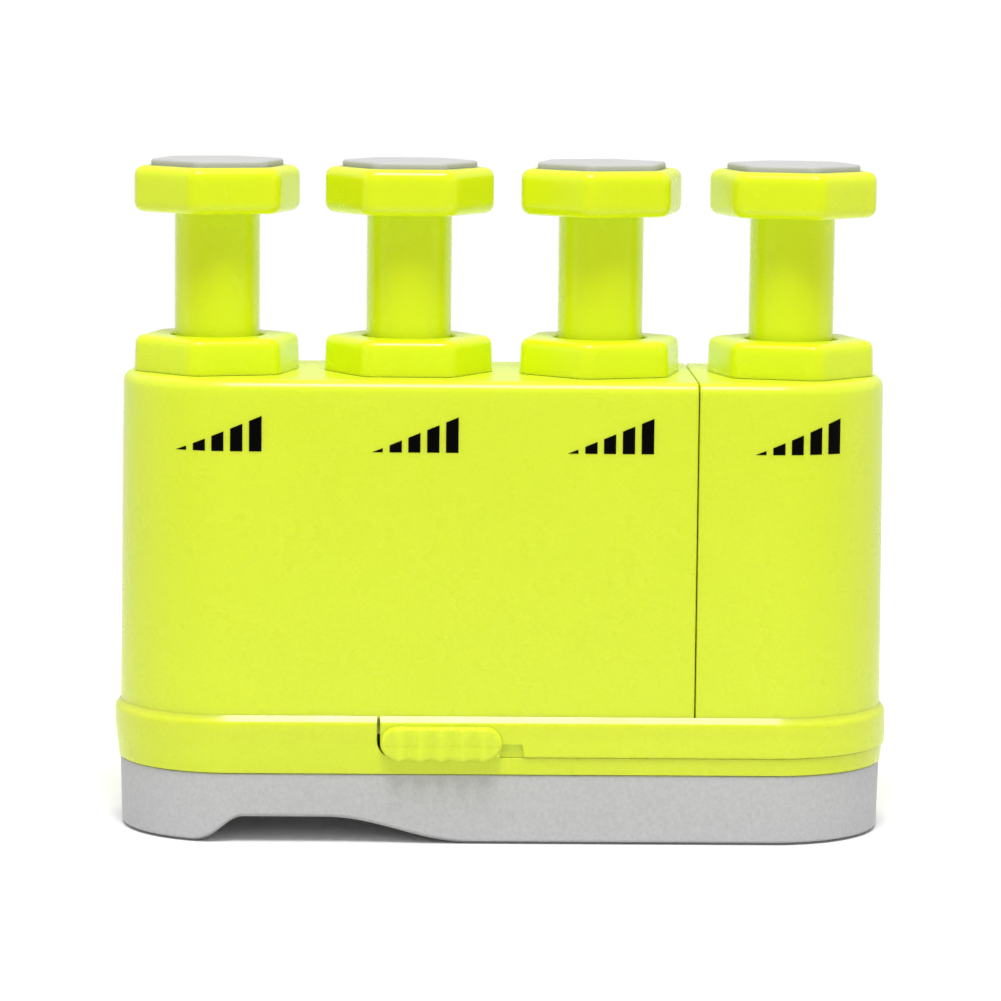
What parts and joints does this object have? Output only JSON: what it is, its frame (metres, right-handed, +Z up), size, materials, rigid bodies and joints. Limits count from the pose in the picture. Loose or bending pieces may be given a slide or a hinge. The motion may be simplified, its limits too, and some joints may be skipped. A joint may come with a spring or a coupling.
{
  "type": "finger exerciser",
  "caption": "Hand-held finger exerciser: sprung plungers with soft pads over hexagonal tension collars, a sliding end block with a lock slider, and a soft arched palm grip.",
  "frame": {"origin": "underside of the palm grip, midway along the closed body and on the plungers' line", "axes": "+Z up, -Y is the front with the lock slider, +X towards the block that slides out"},
  "size_m": [0.0948, 0.0313, 0.0817],
  "materials": {
    "lime_plastic": "satin injection-moulded, lime yellow-green",
    "grey_soft_grip": "matt soft-touch, light grey",
    "natural_plastic": "matt, uncoloured",
    "spring_steel": "bright drawn wire and plated screws"
  },
  "bodies": {
    "base": {"palm_grip": "grey_soft_grip", "base_tray": "lime_plastic", "main_housing": "lime_plastic", "cell_carrier": "natural_plastic", "housing_screw_1": "spring_steel", "housing_screw_2": "spring_steel", "housing_screw_3": "spring_steel", "spring_1": "spring_steel", "spring_2": "spring_steel", "spring_3": "spring_steel"},
    "extension": {"extension_drawer": "lime_plastic", "extension_housing": "lime_plastic", "extension_carrier": "natural_plastic", "extension_screw_1": "spring_steel", "extension_screw_2": "spring_steel", "spring_4": "spring_steel"},
    "lock": {"lock_slider": "lime_plastic"},
    "collar_1": {"tension_collar_1": "lime_plastic", "retaining_ring_1": "spring_steel"},
    "plunger_1": {"piston_1": "lime_plastic", "finger_pad_1": "grey_soft_grip"},
    "seat_1": {"spring_seat_1": "natural_plastic"},
    "collar_2": {"tension_collar_2": "lime_plastic", "retaining_ring_2": "spring_steel"},
    "plunger_2": {"piston_2": "lime_plastic", "finger_pad_2": "grey_soft_grip"},
    "seat_2": {"spring_seat_2": "natural_plastic"},
    "collar_3": {"tension_collar_3": "lime_plastic", "retaining_ring_3": "spring_steel"},
    "plunger_3": {"piston_3": "lime_plastic", "finger_pad_3": "grey_soft_grip"},
    "seat_3": {"spring_seat_3": "natural_plastic"},
    "collar_4": {"tension_collar_4": "lime_plastic", "retaining_ring_4": "spring_steel"},
    "plunger_4": {"piston_4": "lime_plastic", "finger_pad_4": "grey_soft_grip"},
    "seat_4": {"spring_seat_4": "natural_plastic"}
  },
  "joints": [
    {"name": "extension_slide", "type": "slide", "parent": "base", "child": "extension", "axis": [1, 0, 0], "range_m": [0, 0.02]},
    {"name": "lock_slide", "type": "slide", "parent": "extension", "child": "lock", "axis": [1, 0, 0], "range_m": [0, 0.0024]},
    {"name": "collar_1_turn", "type": "hinge", "parent": "base", "child": "collar_1", "pos_m": [-0.03499, 0, 0.056], "axis": [0, 0, 1], "range_deg": [0, 720]},
    {"name": "plunger_1_press", "type": "slide", "parent": "collar_1", "child": "plunger_1", "axis": [0, 0, -1], "range_m": [0, 0.014], "stiffness_N_per_m": 900, "springref_m": -0.004, "deforming": ["spring_1"]},
    {"name": "seat_1_rise", "type": "slide", "parent": "base", "child": "seat_1", "axis": [0, 0, 1], "range_m": [0, 0.006]},
    {"name": "collar_2_turn", "type": "hinge", "parent": "base", "child": "collar_2", "pos_m": [-0.01167, 0, 0.056], "axis": [0, 0, 1], "range_deg": [0, 720]},
    {"name": "plunger_2_press", "type": "slide", "parent": "collar_2", "child": "plunger_2", "axis": [0, 0, -1], "range_m": [0, 0.014], "stiffness_N_per_m": 900, "springref_m": -0.004, "deforming": ["spring_2"]},
    {"name": "seat_2_rise", "type": "slide", "parent": "base", "child": "seat_2", "axis": [0, 0, 1], "range_m": [0, 0.006]},
    {"name": "collar_3_turn", "type": "hinge", "parent": "base", "child": "collar_3", "pos_m": [0.01167, 0, 0.056], "axis": [0, 0, 1], "range_deg": [0, 720]},
    {"name": "plunger_3_press", "type": "slide", "parent": "collar_3", "child": "plunger_3", "axis": [0, 0, -1], "range_m": [0, 0.014], "stiffness_N_per_m": 900, "springref_m": -0.004, "deforming": ["spring_3"]},
    {"name": "seat_3_rise", "type": "slide", "parent": "base", "child": "seat_3", "axis": [0, 0, 1], "range_m": [0, 0.006]},
    {"name": "collar_4_turn", "type": "hinge", "parent": "extension", "child": "collar_4", "pos_m": [0.03499, 0, 0.056], "axis": [0, 0, 1], "range_deg": [0, 720]},
    {"name": "plunger_4_press", "type": "slide", "parent": "collar_4", "child": "plunger_4", "axis": [0, 0, -1], "range_m": [0, 0.014], "stiffness_N_per_m": 900, "springref_m": -0.004, "deforming": ["spring_4"]},
    {"name": "seat_4_rise", "type": "slide", "parent": "extension", "child": "seat_4", "axis": [0, 0, 1], "range_m": [0, 0.006]}
  ],
  "couplings": [
    {"joint": "seat_1_rise", "follows": "collar_1_turn", "m_per_rad": 0.000477},
    {"joint": "seat_2_rise", "follows": "collar_2_turn", "m_per_rad": 0.000477},
    {"joint": "seat_3_rise", "follows": "collar_3_turn", "m_per_rad": 0.000477},
    {"joint": "seat_4_rise", "follows": "collar_4_turn", "m_per_rad": 0.000477}
  ]
}
